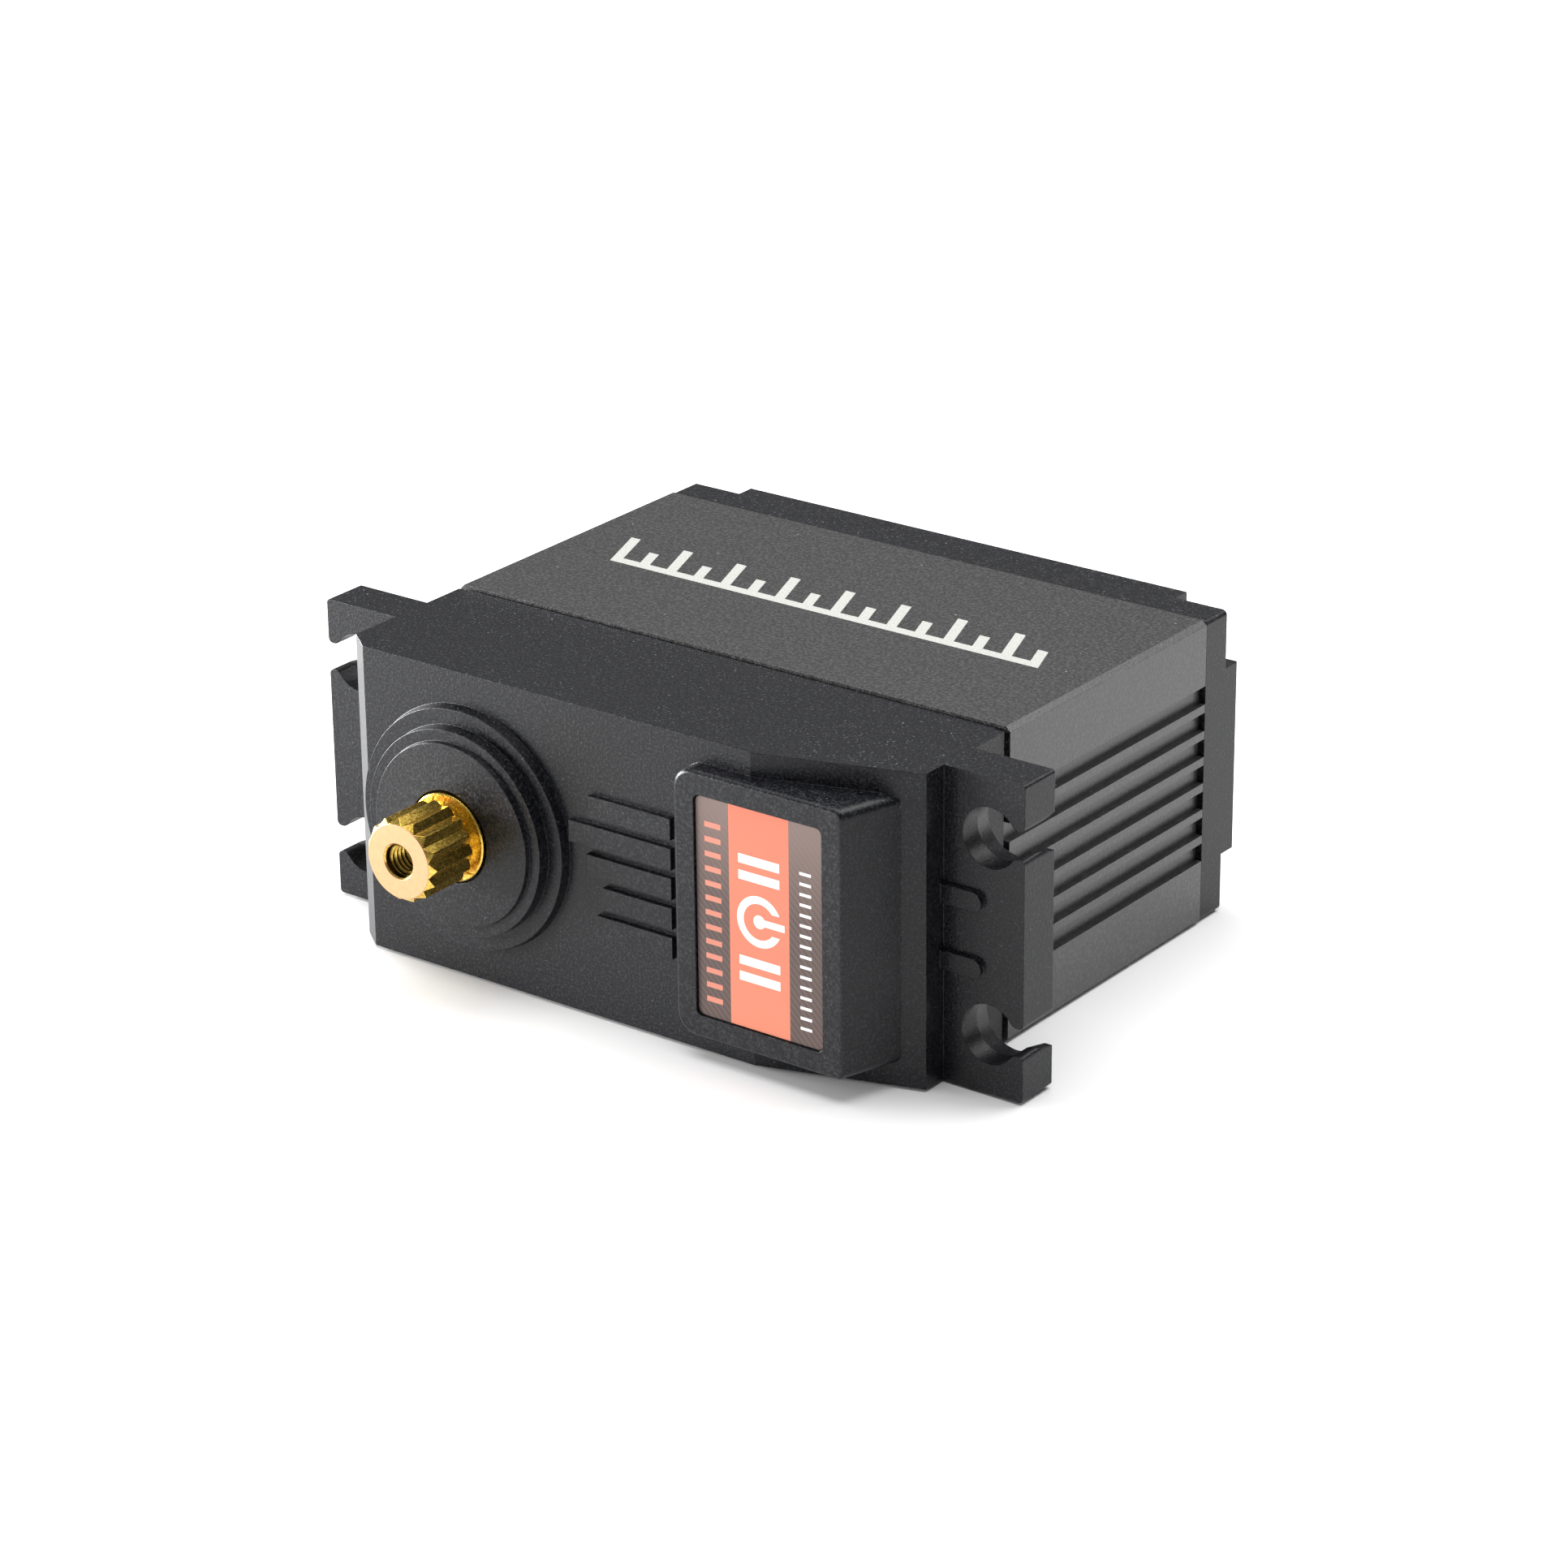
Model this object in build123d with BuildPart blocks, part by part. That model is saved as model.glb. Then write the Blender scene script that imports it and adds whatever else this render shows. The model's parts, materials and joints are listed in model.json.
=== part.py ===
from build123d import *
import math
import os

os.makedirs("parts", exist_ok=True)

# Frame: the output axis is the Y axis and the shaft points to -Y.  Y = 0 is the main face of the gear
# case.  The servo lies on its side, so +Z is up and the length of the case runs along X.

# ---------------------------------------------------------------- overall case
case_length = 60.0
case_width = 29.0
shaft_inset = 14.0
x_near = -shaft_inset
x_far = case_length - shaft_inset
x_mid = (x_near + x_far) / 2
half_width = case_width / 2
wall = 2.0
inner_half_width = half_width - wall

# seams along the depth
front_seam_y = 16.05
middle_start_y = 16.55
seam_lip_height = 0.25
seam_lip_thickness = 0.4
seam_lip_inset = 1.0
middle_end_y = 47.55
cover_start_y = 47.75
cover_back_y = 51.1
plateau_y = 53.15
middle_proud = 0.26
cover_proud = 0.15

# front face features
nose_chamfer_x = 2.4
nose_chamfer_y = 1.87
ramp_start_x = 31.3
ramp_end_y = 4.63
bar_height = 0.55
bar_width = 2.0
bar_pitch = 2.78
bar_far_x = 23.0
bar_near_x = (14.0, 11.8, 13.7, 15.4, 14.7)

# label block
block_near_x = 24.3
block_far_x = 42.0
block_low_z = -12.4
block_high_z = 12.3
block_height = 1.8
block_foot_x = 43.95
block_foot_y = 4.0
block_near_radius = 2.0
block_far_radius = 0.9
block_rim_radius = 0.4
recess_near_x = 26.5
recess_far_x = 39.9
recess_low_z = -10.3
recess_high_z = 10.2
recess_depth = 0.35
recess_radius = 0.6
label_thickness = 0.12
label_margin = 0.1
pocket_near_x = 29.5
pocket_roof_y = 0.2
pocket_back_y = 3.0

# mounting ears
ear_front_y = 7.17
ear_thickness = 4.4
ear_reach = 8.15
ear_corner = 0.35
ear_hole_radius = 2.75
ear_hole_inset = 4.65
ear_hole_spacing_z = 18.0
ear_slot_width = 2.57
ear_throat_radius = 0.7
ear_mouth_radius = 0.45
ear_relief = 0.45
ear_relief_depth = 2.2
gusset_reach = 4.1
gusset_width = 1.8
gusset_height = 0.5
gusset_z = (3.0, -3.1)

# boss round the output shaft: radius and face position of each step
boss_base_radius = 11.46
boss_steps = ((11.26, -0.92), (9.71, -2.06), (8.57, -2.56))
boss_face_y = -2.8
boss_step_draft = 0.08
shaft_hole_radius = 4.35

# ---------------------------------------------------------------- output shaft
spline_teeth = 15
spline_tip_radius = 3.9
spline_root_radius = 3.45
spline_face_radius = 3.42
spline_end_y = -9.5
spline_start_y = -4.0
spline_chamfer = 0.57
spline_back_chamfer = 0.15
spline_land = 0.1
spline_phase = 10.1
collar_face_y = -3.06
collar_back_y = -2.3
collar_radius = 4.12
collar_chamfer = 0.12
neck_radius = 3.2
journal_radius = 4.0
screw_hole_radius = 1.5
screw_hole_depth = 11.0
screw_hole_cone = 0.85
screw_countersink_radius = 1.7

# ball bearings: bore radius, outer radius, width, front face
front_bearing_y = -1.4
front_bearing_size = (4.0, 7.0, 4.0)
rear_bearing_size = (3.0, 5.0, 3.0)
rear_bearing_y = 16.8
bearing_rim = 1.5
front_relief = 1.6
front_relief_depth = 0.25

# ---------------------------------------------------------------- gear train
pressure_angle = 25.0
addendum = 0.9
dedendum = 1.2
backlash = 0.05
output_teeth = 31
third_pinion_teeth = 13
output_module = 0.7
third_teeth = 36
second_pinion_teeth = 12
third_module = 0.5
second_teeth = 48
first_teeth = 50
fine_pinion_teeth = 12
fine_module = 0.4

third_distance = (output_teeth + third_pinion_teeth) * output_module / 2
second_distance = (third_teeth + second_pinion_teeth) * third_module / 2
first_distance = (first_teeth + fine_pinion_teeth) * fine_module / 2
near_pin_z = -1.6
far_pin_z = 2.2
motor_z = -1.8
near_pin_x = math.sqrt(third_distance**2 - near_pin_z**2)
far_pin_x = near_pin_x + math.sqrt(second_distance**2 - (far_pin_z - near_pin_z) ** 2)
motor_x = near_pin_x + math.sqrt(first_distance**2 - (motor_z - near_pin_z) ** 2)
near_pin = (near_pin_x, near_pin_z)
far_pin = (far_pin_x, far_pin_z)
motor_axis = (motor_x, motor_z)
output_axis = (0.0, 0.0)

# front and rear face of every gear
output_gear_y = (3.4, 7.4)
third_pinion_y = (2.9, 8.0)
third_wheel_y = (8.0, 10.0)
second_pinion_y = (7.7, 10.7)
second_wheel_y = (10.7, 12.7)
first_pinion_y = (10.3, 13.4)
first_wheel_y = (13.4, 15.4)
motor_pinion_y = (13.1, 16.2)
pin_radius = 0.75
pin_clearance = 0.03
pin_front_y = 0.9
pin_rear_y = 17.8

# ---------------------------------------------------------------- case screws
screw_inset = 2.9
screw_x = (x_near + screw_inset, x_far - screw_inset)
screw_z = (half_width - screw_inset, screw_inset - half_width)
screw_shank_radius = 1.25
screw_clearance_radius = 1.4
screw_tip_y = 7.0
screw_head_radius = 2.2
screw_head_height = 1.4
screw_seat_depth = 1.0
screw_seat_radius = 2.4
screw_key_radius = 1.0
screw_post_radius = 2.75
far_post_top_y = 5.03
notch_size = 5.4

# ---------------------------------------------------------------- motor, potentiometer and board
plate_back_y = 18.6
motor_radius = 10.2
motor_front_y = 18.6
motor_can_back_y = 41.0
motor_wall = 0.8
motor_front_wall = 1.2
motor_boss_radius = 3.0
motor_boss_gap = 0.3
motor_shaft_radius = 0.75
motor_shaft_clearance = 0.04
motor_shaft_back_y = 43.2
motor_shaft_front_tip = 0.2
motor_screw_offset = 6.2
motor_screw_radius = 0.9
motor_screw_hole_radius = 1.1
motor_screw_seat_radius = 2.0
motor_screw_seat_depth = 1.0
motor_screw_head_radius = 1.9
motor_screw_head_height = 0.85
motor_screw_gap = 0.02
magnet_y = (22.0, 39.0)
core_y = (24.0, 36.0)
end_turn_height = 1.8
commutator_y = (37.8, 40.8)
bell_back_y = 43.6
bell_bearing_y = 43.25
pot_radius = 6.0
pot_front_y = 21.5
pot_back_y = 27.5
pot_shaft_radius = 1.5
pot_shaft_front_y = 13.5
pot_shaft_back_y = 24.9
pot_shaft_clearance = 0.05
pot_socket_y = 25.0
board_front_y = 44.2
board_thickness = 1.2

# cable inlet in the short wall nearest the shaft
inlet_radius = 2.6
inlet_y = 38.5


def plane_at(y, spot=output_axis):
    """Sketch plane facing -Y at depth y, with its origin on an axis given as (x, z)."""
    return Plane(origin=(spot[0], y, spot[1]), x_dir=(1, 0, 0), z_dir=(0, -1, 0))


def involute(angle):
    """Involute function of a pressure angle in radians."""
    return math.tan(angle) - angle


def tooth_half_angle(teeth, module, radius):
    """Half the angle that one tooth covers at a radius, with the backlash taken off."""
    pitch_radius = teeth * module / 2
    base_radius = pitch_radius * math.cos(math.radians(pressure_angle))
    at_pitch = math.pi / (2 * teeth) + involute(math.radians(pressure_angle))
    used_radius = max(radius, base_radius)
    at_radius = involute(math.acos(base_radius / used_radius))
    return at_pitch - at_radius - backlash / (2 * pitch_radius)


def gear_outline(teeth, module, phase):
    """Corner points of a spur gear whose first tooth points along the phase angle in degrees."""
    pitch_radius = teeth * module / 2
    root_radius = pitch_radius - dedendum * module
    tip_radius = pitch_radius + addendum * module
    base_radius = pitch_radius * math.cos(math.radians(pressure_angle))
    start_radius = max(base_radius, root_radius)
    flank = (root_radius, start_radius, (start_radius + pitch_radius) / 2, pitch_radius,
             (pitch_radius + tip_radius) / 2, tip_radius)
    flank = sorted(set(flank))
    points = []
    for tooth in range(teeth):
        centre = math.radians(phase) + 2 * math.pi * tooth / teeth
        for radius in flank:
            angle = centre - tooth_half_angle(teeth, module, radius)
            points.append((radius * math.cos(angle), radius * math.sin(angle)))
        for radius in reversed(flank):
            angle = centre + tooth_half_angle(teeth, module, radius)
            points.append((radius * math.cos(angle), radius * math.sin(angle)))
    return points


def angle_between(start, end):
    """Direction in degrees from one axis to another, both given as (x, z)."""
    return math.degrees(math.atan2(end[1] - start[1], end[0] - start[0]))


def meshing_phase(driver_teeth, driver_phase, driver_axis, driven_teeth, driven_axis):
    """Phase in degrees that puts a tooth space of the driven gear opposite a tooth of the driver."""
    toward = angle_between(driver_axis, driven_axis)
    offset = (toward - driver_phase) * driver_teeth / driven_teeth
    return toward + 180.0 - 180.0 / driven_teeth + offset


def ring_profile(inner_radius, outer_radius, front_y, back_y):
    """Corner points of a plain ring's section, as (radius, y)."""
    return [(inner_radius, front_y), (outer_radius, front_y),
            (outer_radius, back_y), (inner_radius, back_y)]


def label_and_save(piece, name):
    """Name a finished piece and write it as a STEP file."""
    piece.label = name
    export_step(piece, "parts/" + name + ".step")


def ear_opening(radius, half_slot, throat_radius):
    """Outline of one ear hole, open to the end of its ear by a slot that runs along +X."""
    with BuildSketch() as opening:
        Circle(radius)
        with Locations((ear_reach / 2, 0)):
            Rectangle(ear_reach, 2 * half_slot)
        fillet(opening.vertices().group_by(Axis.X)[0], radius=throat_radius)
    return opening.sketch


screw_spots = [(x, z) for x in screw_x for z in screw_z]
motor_screw_spots = [(-motor_screw_offset, 0), (motor_screw_offset, 0)]
ear_hole_x = (x_near - ear_hole_inset, x_far + ear_hole_inset)
ear_hole_z = (-ear_hole_spacing_z / 2, ear_hole_spacing_z / 2)
ramp_slope = ramp_end_y / (x_far - ramp_start_x)
ear_relief_draft = math.degrees(math.atan2(ear_relief, ear_relief_depth))

# ---------------------------------------------------------------- gear case
with BuildPart() as gear_case:
    # label block with a sloping far wall that runs down on to the ramp
    with BuildSketch(Plane.XY.offset(block_low_z)):
        with BuildLine():
            Polyline((block_near_x, wall), (block_near_x, -block_height), (block_far_x, -block_height),
                     (block_foot_x, block_foot_y), (block_foot_x, block_foot_y + wall), close=True)
        make_face()
    extrude(amount=block_high_z - block_low_z)
    near_edges = gear_case.edges().filter_by(Axis.Y).group_by(Axis.X)[0]
    fillet(near_edges, radius=block_near_radius)
    far_edges = [
        edge for edge in gear_case.edges()
        if edge.center().X > block_far_x
        and not block_low_z + wall < edge.center().Z < block_high_z - wall
        and edge.length > block_foot_y
    ]
    fillet(far_edges, radius=block_far_radius)
    fillet(gear_case.faces().sort_by(Axis.Y)[0].edges(), radius=block_rim_radius)

    # main shell, seen from above: nose chamfer, flat face, ramp and end wall
    with BuildSketch(Plane.XY):
        with BuildLine():
            Polyline((x_near + nose_chamfer_x, 0), (ramp_start_x, 0), (x_far, ramp_end_y),
                     (x_far, front_seam_y), (x_near, front_seam_y), (x_near, nose_chamfer_y), close=True)
        make_face()
    extrude(amount=half_width, both=True)

    # mounting ears with their open holes
    with BuildSketch(plane_at(ear_front_y)) as ears:
        with Locations((x_mid, 0)):
            RectangleRounded(case_length + 2 * ear_reach, case_width, ear_corner)
        straight_opening = ear_opening(ear_hole_radius, ear_slot_width / 2, ear_throat_radius)
        for x, turn in zip(ear_hole_x, (180, 0)):
            with Locations(*[(x, z) for z in ear_hole_z]):
                add(straight_opening, rotation=turn, mode=Mode.SUBTRACT)
        mouths = [
            corner for corner in ears.vertices()
            if abs(corner.X - x_mid) > case_length / 2 + ear_reach - ear_corner / 2
            and abs(abs(corner.Y) - ear_hole_z[1]) < ear_slot_width
        ]
        fillet(mouths, radius=ear_mouth_radius)
    extrude(amount=-ear_thickness)
    with BuildSketch(plane_at(ear_front_y)):
        for z in gusset_z:
            with Locations((x_far + gusset_reach / 2 - gusset_width / 2, z)):
                SlotOverall(gusset_reach + gusset_width, gusset_width)
    extrude(amount=gusset_height)

    # stepped boss
    with BuildSketch(Plane.XY):
        with BuildLine():
            boss_points = [(0, wall), (boss_base_radius, wall), (boss_base_radius, 0)]
            for index, (radius, face_y) in enumerate(boss_steps):
                boss_points.append((radius, face_y))
                if index + 1 < len(boss_steps):
                    boss_points.append((boss_steps[index + 1][0] + boss_step_draft, face_y))
            boss_points.append((shaft_hole_radius, boss_face_y))
            boss_points.append((0, boss_face_y))
            Polyline(*boss_points, close=True)
        make_face()
    revolve(axis=Axis.Y)

    # five raised bars
    with BuildSketch(plane_at(0)):
        for index, near_x in enumerate(bar_near_x):
            with Locations(((near_x + bar_far_x) / 2, bar_pitch * (2 - index))):
                Rectangle(bar_far_x - near_x, bar_width)
    extrude(amount=bar_height)

    # hollow inside, following the ramp
    with BuildSketch(Plane.XY):
        with BuildLine():
            Polyline((x_near + wall, wall), (ramp_start_x, wall),
                     (x_far - wall, wall + ramp_slope * (x_far - wall - ramp_start_x)),
                     (x_far - wall, front_seam_y), (x_near + wall, front_seam_y), close=True)
        make_face()
    extrude(amount=inner_half_width, both=True, mode=Mode.SUBTRACT)

    # thin lip along both long walls, which narrows the front seam there
    with BuildSketch(plane_at(front_seam_y)):
        for side in (-1, 1):
            with Locations((x_mid, side * (half_width - seam_lip_thickness / 2))):
                Rectangle(case_length - 2 * seam_lip_inset, seam_lip_thickness)
    extrude(amount=-seam_lip_height)

    # screw posts in the corners; the far pair stops below the ramp
    for x, top_y in zip(screw_x, (wall, far_post_top_y)):
        with BuildSketch(plane_at(front_seam_y)):
            with Locations(*[(x, z) for z in screw_z]):
                Circle(screw_post_radius)
        extrude(amount=front_seam_y - top_y)

    # seat for the front bearing, with a rim inside the roof
    front_bearing_back = front_bearing_y + front_bearing_size[2]
    with BuildSketch(plane_at(front_bearing_back)):
        Circle(front_bearing_size[1] + bearing_rim)
    extrude(amount=front_bearing_back - wall / 2)
    with BuildSketch(plane_at(front_bearing_back)):
        Circle(front_bearing_size[1])
    extrude(amount=front_bearing_size[2], mode=Mode.SUBTRACT)
    with BuildSketch(plane_at(front_bearing_y)):
        Circle(front_bearing_size[0] + front_relief)
    extrude(amount=front_relief_depth, mode=Mode.SUBTRACT)
    with BuildSketch(plane_at(front_bearing_back)):
        Circle(shaft_hole_radius)
    extrude(amount=front_bearing_back - boss_face_y + wall, mode=Mode.SUBTRACT)

    # the label block is hollow behind the label
    with BuildSketch(plane_at(pocket_back_y)):
        with Locations(((pocket_near_x + recess_far_x) / 2, 0)):
            Rectangle(recess_far_x - pocket_near_x, recess_high_z - recess_low_z)
    extrude(amount=pocket_back_y - pocket_roof_y, mode=Mode.SUBTRACT)

    # blind holes for the gear pins
    with BuildSketch(plane_at(output_gear_y[0])):
        with Locations(near_pin, far_pin):
            Circle(pin_radius)
    extrude(amount=output_gear_y[0] - pin_front_y, mode=Mode.SUBTRACT)

    # pilot holes for the case screws
    with BuildSketch(plane_at(front_seam_y)):
        with Locations(*screw_spots):
            Circle(screw_shank_radius)
    extrude(amount=front_seam_y - screw_tip_y, mode=Mode.SUBTRACT)

    # the ear holes and their slots widen towards the back
    with BuildSketch(plane_at(ear_front_y + ear_thickness)):
        wide_opening = ear_opening(ear_hole_radius + ear_relief, ear_slot_width / 2 + ear_relief,
                                   ear_throat_radius - ear_relief)
        for x, turn in zip(ear_hole_x, (180, 0)):
            with Locations(*[(x, z) for z in ear_hole_z]):
                add(wide_opening, rotation=turn)
    extrude(amount=ear_relief_depth, taper=ear_relief_draft, mode=Mode.SUBTRACT)

    # pocket for the label
    with BuildSketch(plane_at(-block_height)):
        with Locations(((recess_near_x + recess_far_x) / 2, (recess_low_z + recess_high_z) / 2)):
            RectangleRounded(recess_far_x - recess_near_x, recess_high_z - recess_low_z, recess_radius)
    extrude(amount=-recess_depth, mode=Mode.SUBTRACT)

# ---------------------------------------------------------------- label
with BuildPart() as label:
    with BuildSketch(plane_at(recess_depth - block_height)):
        with Locations(((recess_near_x + recess_far_x) / 2, (recess_low_z + recess_high_z) / 2)):
            RectangleRounded(recess_far_x - recess_near_x - 2 * label_margin,
                             recess_high_z - recess_low_z - 2 * label_margin, recess_radius)
    extrude(amount=label_thickness)

# ---------------------------------------------------------------- middle case
groove_count = 7
groove_width = 1.75
groove_pitch = 2.55
groove_depth = 0.7
middle_edge_chamfer = 0.45
rear_bearing_back = rear_bearing_y + rear_bearing_size[2]
pot_cup_wall = 1.4
pot_cup_recess = 1.0
bearing_ledge = 0.8

with BuildPart() as middle_case:
    with BuildSketch(plane_at(middle_start_y, (x_mid, 0))):
        Rectangle(case_length + 2 * middle_proud, case_width + 2 * middle_proud)
        chamfer(vertices(), length=middle_edge_chamfer)
    extrude(amount=middle_start_y - middle_end_y)
    # cooling grooves on both short walls
    with BuildSketch(plane_at(middle_start_y, (x_mid, 0))):
        for side in (-1, 1):
            for index in range(groove_count):
                offset = (index - (groove_count - 1) / 2) * groove_pitch
                with Locations((side * (case_length / 2 + middle_proud), offset)):
                    Rectangle(2 * groove_depth, groove_width)
    extrude(amount=middle_start_y - middle_end_y, mode=Mode.SUBTRACT)
    # hollow behind the gear plate, with posts for the case screws
    with BuildSketch(plane_at(plate_back_y, (x_mid, 0))):
        Rectangle(case_length - 2 * wall, case_width - 2 * wall)
    extrude(amount=plate_back_y - middle_end_y, mode=Mode.SUBTRACT)
    with BuildSketch(plane_at(plate_back_y)):
        with Locations(*screw_spots):
            Circle(screw_post_radius)
    extrude(amount=plate_back_y - middle_end_y)
    # cup behind the plate that holds the potentiometer under the rear bearing
    with BuildSketch(plane_at(plate_back_y)):
        Circle(pot_radius + pot_cup_wall)
    extrude(amount=plate_back_y - pot_back_y + pot_cup_recess)
    with BuildSketch(plane_at(pot_back_y)):
        Circle(pot_radius)
    extrude(amount=pot_back_y - pot_front_y, mode=Mode.SUBTRACT)
    with BuildSketch(plane_at(middle_start_y)):
        Circle(rear_bearing_size[1])
    extrude(amount=middle_start_y - rear_bearing_back, mode=Mode.SUBTRACT)
    with BuildSketch(plane_at(middle_start_y)):
        Circle(rear_bearing_size[0] + bearing_ledge)
    extrude(amount=middle_start_y - pot_front_y, mode=Mode.SUBTRACT)
    # gear pins, motor boss and motor screws pass through the plate
    with BuildSketch(plane_at(middle_start_y)):
        with Locations(near_pin, far_pin):
            Circle(pin_radius)
    extrude(amount=middle_start_y - pin_rear_y, mode=Mode.SUBTRACT)
    with BuildSketch(plane_at(middle_start_y, motor_axis)):
        Circle(motor_boss_radius)
        with Locations(*motor_screw_spots):
            Circle(motor_screw_hole_radius)
    extrude(amount=middle_start_y - plate_back_y, mode=Mode.SUBTRACT)
    with BuildSketch(plane_at(middle_start_y, motor_axis)):
        with Locations(*motor_screw_spots):
            Circle(motor_screw_seat_radius)
    extrude(amount=-motor_screw_seat_depth, mode=Mode.SUBTRACT)
    # case screws and cable inlet
    with BuildSketch(plane_at(middle_start_y)):
        with Locations(*screw_spots):
            Circle(screw_clearance_radius)
    extrude(amount=middle_start_y - middle_end_y, mode=Mode.SUBTRACT)
    with BuildSketch(Plane(origin=(x_near - wall, inlet_y, 0), x_dir=(0, 1, 0), z_dir=(1, 0, 0))):
        Circle(inlet_radius)
    extrude(amount=2 * wall, mode=Mode.SUBTRACT)

# ---------------------------------------------------------------- bottom cover
cover_corner = 0.5
cover_wall = 1.6
plateau_edge_radius = 0.2

with BuildPart() as bottom_cover:
    with BuildSketch(plane_at(cover_start_y, (x_mid, 0))):
        RectangleRounded(case_length + 2 * cover_proud, case_width + 2 * cover_proud, cover_corner)
    extrude(amount=cover_start_y - plateau_y)
    fillet(bottom_cover.faces().sort_by(Axis.Y)[-1].edges(), radius=plateau_edge_radius)
    # corner notches leave a cross-shaped plateau
    with BuildSketch(plane_at(cover_back_y)):
        for x in (x_near - cover_proud, x_far + cover_proud):
            for z in (-half_width - cover_proud, half_width + cover_proud):
                with Locations((x, z)):
                    Rectangle(2 * (notch_size + cover_proud), 2 * (notch_size + cover_proud))
    extrude(amount=2 * (cover_back_y - plateau_y), mode=Mode.SUBTRACT)
    # hollow inside, kept clear of the screw corners
    with BuildSketch(plane_at(cover_start_y, (x_mid, 0))):
        Rectangle(case_length - 2 * wall, case_width - 4 * screw_inset)
        Rectangle(case_length - 4 * screw_inset, case_width - 2 * wall)
    extrude(amount=cover_start_y - cover_back_y + cover_wall, mode=Mode.SUBTRACT)
    # screw holes with seats for the heads
    with BuildSketch(plane_at(cover_start_y)):
        with Locations(*screw_spots):
            Circle(screw_clearance_radius)
    extrude(amount=cover_start_y - plateau_y, mode=Mode.SUBTRACT)
    with BuildSketch(plane_at(cover_back_y)):
        with Locations(*screw_spots):
            Circle(screw_seat_radius)
    extrude(amount=screw_seat_depth, mode=Mode.SUBTRACT)

# ---------------------------------------------------------------- gaskets at the two seams
gasket_inset = 0.45
gasket_width = 1.4
gasket_eye_radius = 2.4


def gasket(front_y, back_y, inset):
    """Flat frame that seals one seam, with holes for the case screws."""
    with BuildPart() as piece:
        with BuildSketch(plane_at(front_y, (x_mid, 0))):
            frame_length = case_length - 2 * inset
            frame_width = case_width - 2 * inset
            Rectangle(frame_length, frame_width)
            Rectangle(frame_length - 2 * gasket_width, frame_width - 2 * gasket_width, mode=Mode.SUBTRACT)
        extrude(amount=front_y - back_y)
        with BuildSketch(plane_at(front_y)):
            with Locations(*screw_spots):
                Circle(gasket_eye_radius)
        extrude(amount=front_y - back_y)
        with BuildSketch(plane_at(front_y)):
            with Locations(*screw_spots):
                Circle(screw_clearance_radius)
        extrude(amount=front_y - back_y, mode=Mode.SUBTRACT)
    return piece


front_gasket = gasket(front_seam_y, middle_start_y, gasket_inset)
rear_gasket = gasket(middle_end_y, cover_start_y, gasket_inset)

# ---------------------------------------------------------------- four long case screws
screw_seat_y = cover_back_y - screw_seat_depth
screw_key_depth = 0.9
screw_head_chamfer = 0.2

with BuildPart() as case_screws:
    with BuildSketch(plane_at(screw_seat_y)):
        with Locations(*screw_spots):
            Circle(screw_shank_radius)
    extrude(amount=screw_seat_y - screw_tip_y)
    with BuildSketch(plane_at(screw_seat_y)):
        with Locations(*screw_spots):
            Circle(screw_head_radius)
    extrude(amount=-screw_head_height)
    chamfer(case_screws.edges().group_by(Axis.Y)[-1], length=screw_head_chamfer)
    with BuildSketch(plane_at(screw_seat_y + screw_head_height)):
        with Locations(*screw_spots):
            RegularPolygon(screw_key_radius, 6)
    extrude(amount=screw_key_depth, mode=Mode.SUBTRACT)

# ---------------------------------------------------------------- output shaft
output_hub_radius = 5.2
shaft_step_y = 8.6
lower_shaft_radius = 3.5
shaft_end_y = rear_bearing_back
flat_depth = 0.45
mark_radius = 0.75
mark_circle_radius = 3.25
mark_phase = 7.5
mark_depth = 0.12

# corners of one V-shaped tooth space, cut a little past the tip circle
space_half_angle = math.pi / spline_teeth - spline_land / (2 * spline_tip_radius)
space_reach = 1.5
space_depth = spline_tip_radius * math.cos(space_half_angle) - spline_root_radius
space_half_width = spline_tip_radius * math.sin(space_half_angle)
space_corners = [
    (spline_root_radius, 0),
    (spline_root_radius + space_reach * space_depth, -space_reach * space_half_width),
    (spline_root_radius + space_reach * space_depth, space_reach * space_half_width),
]

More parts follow.
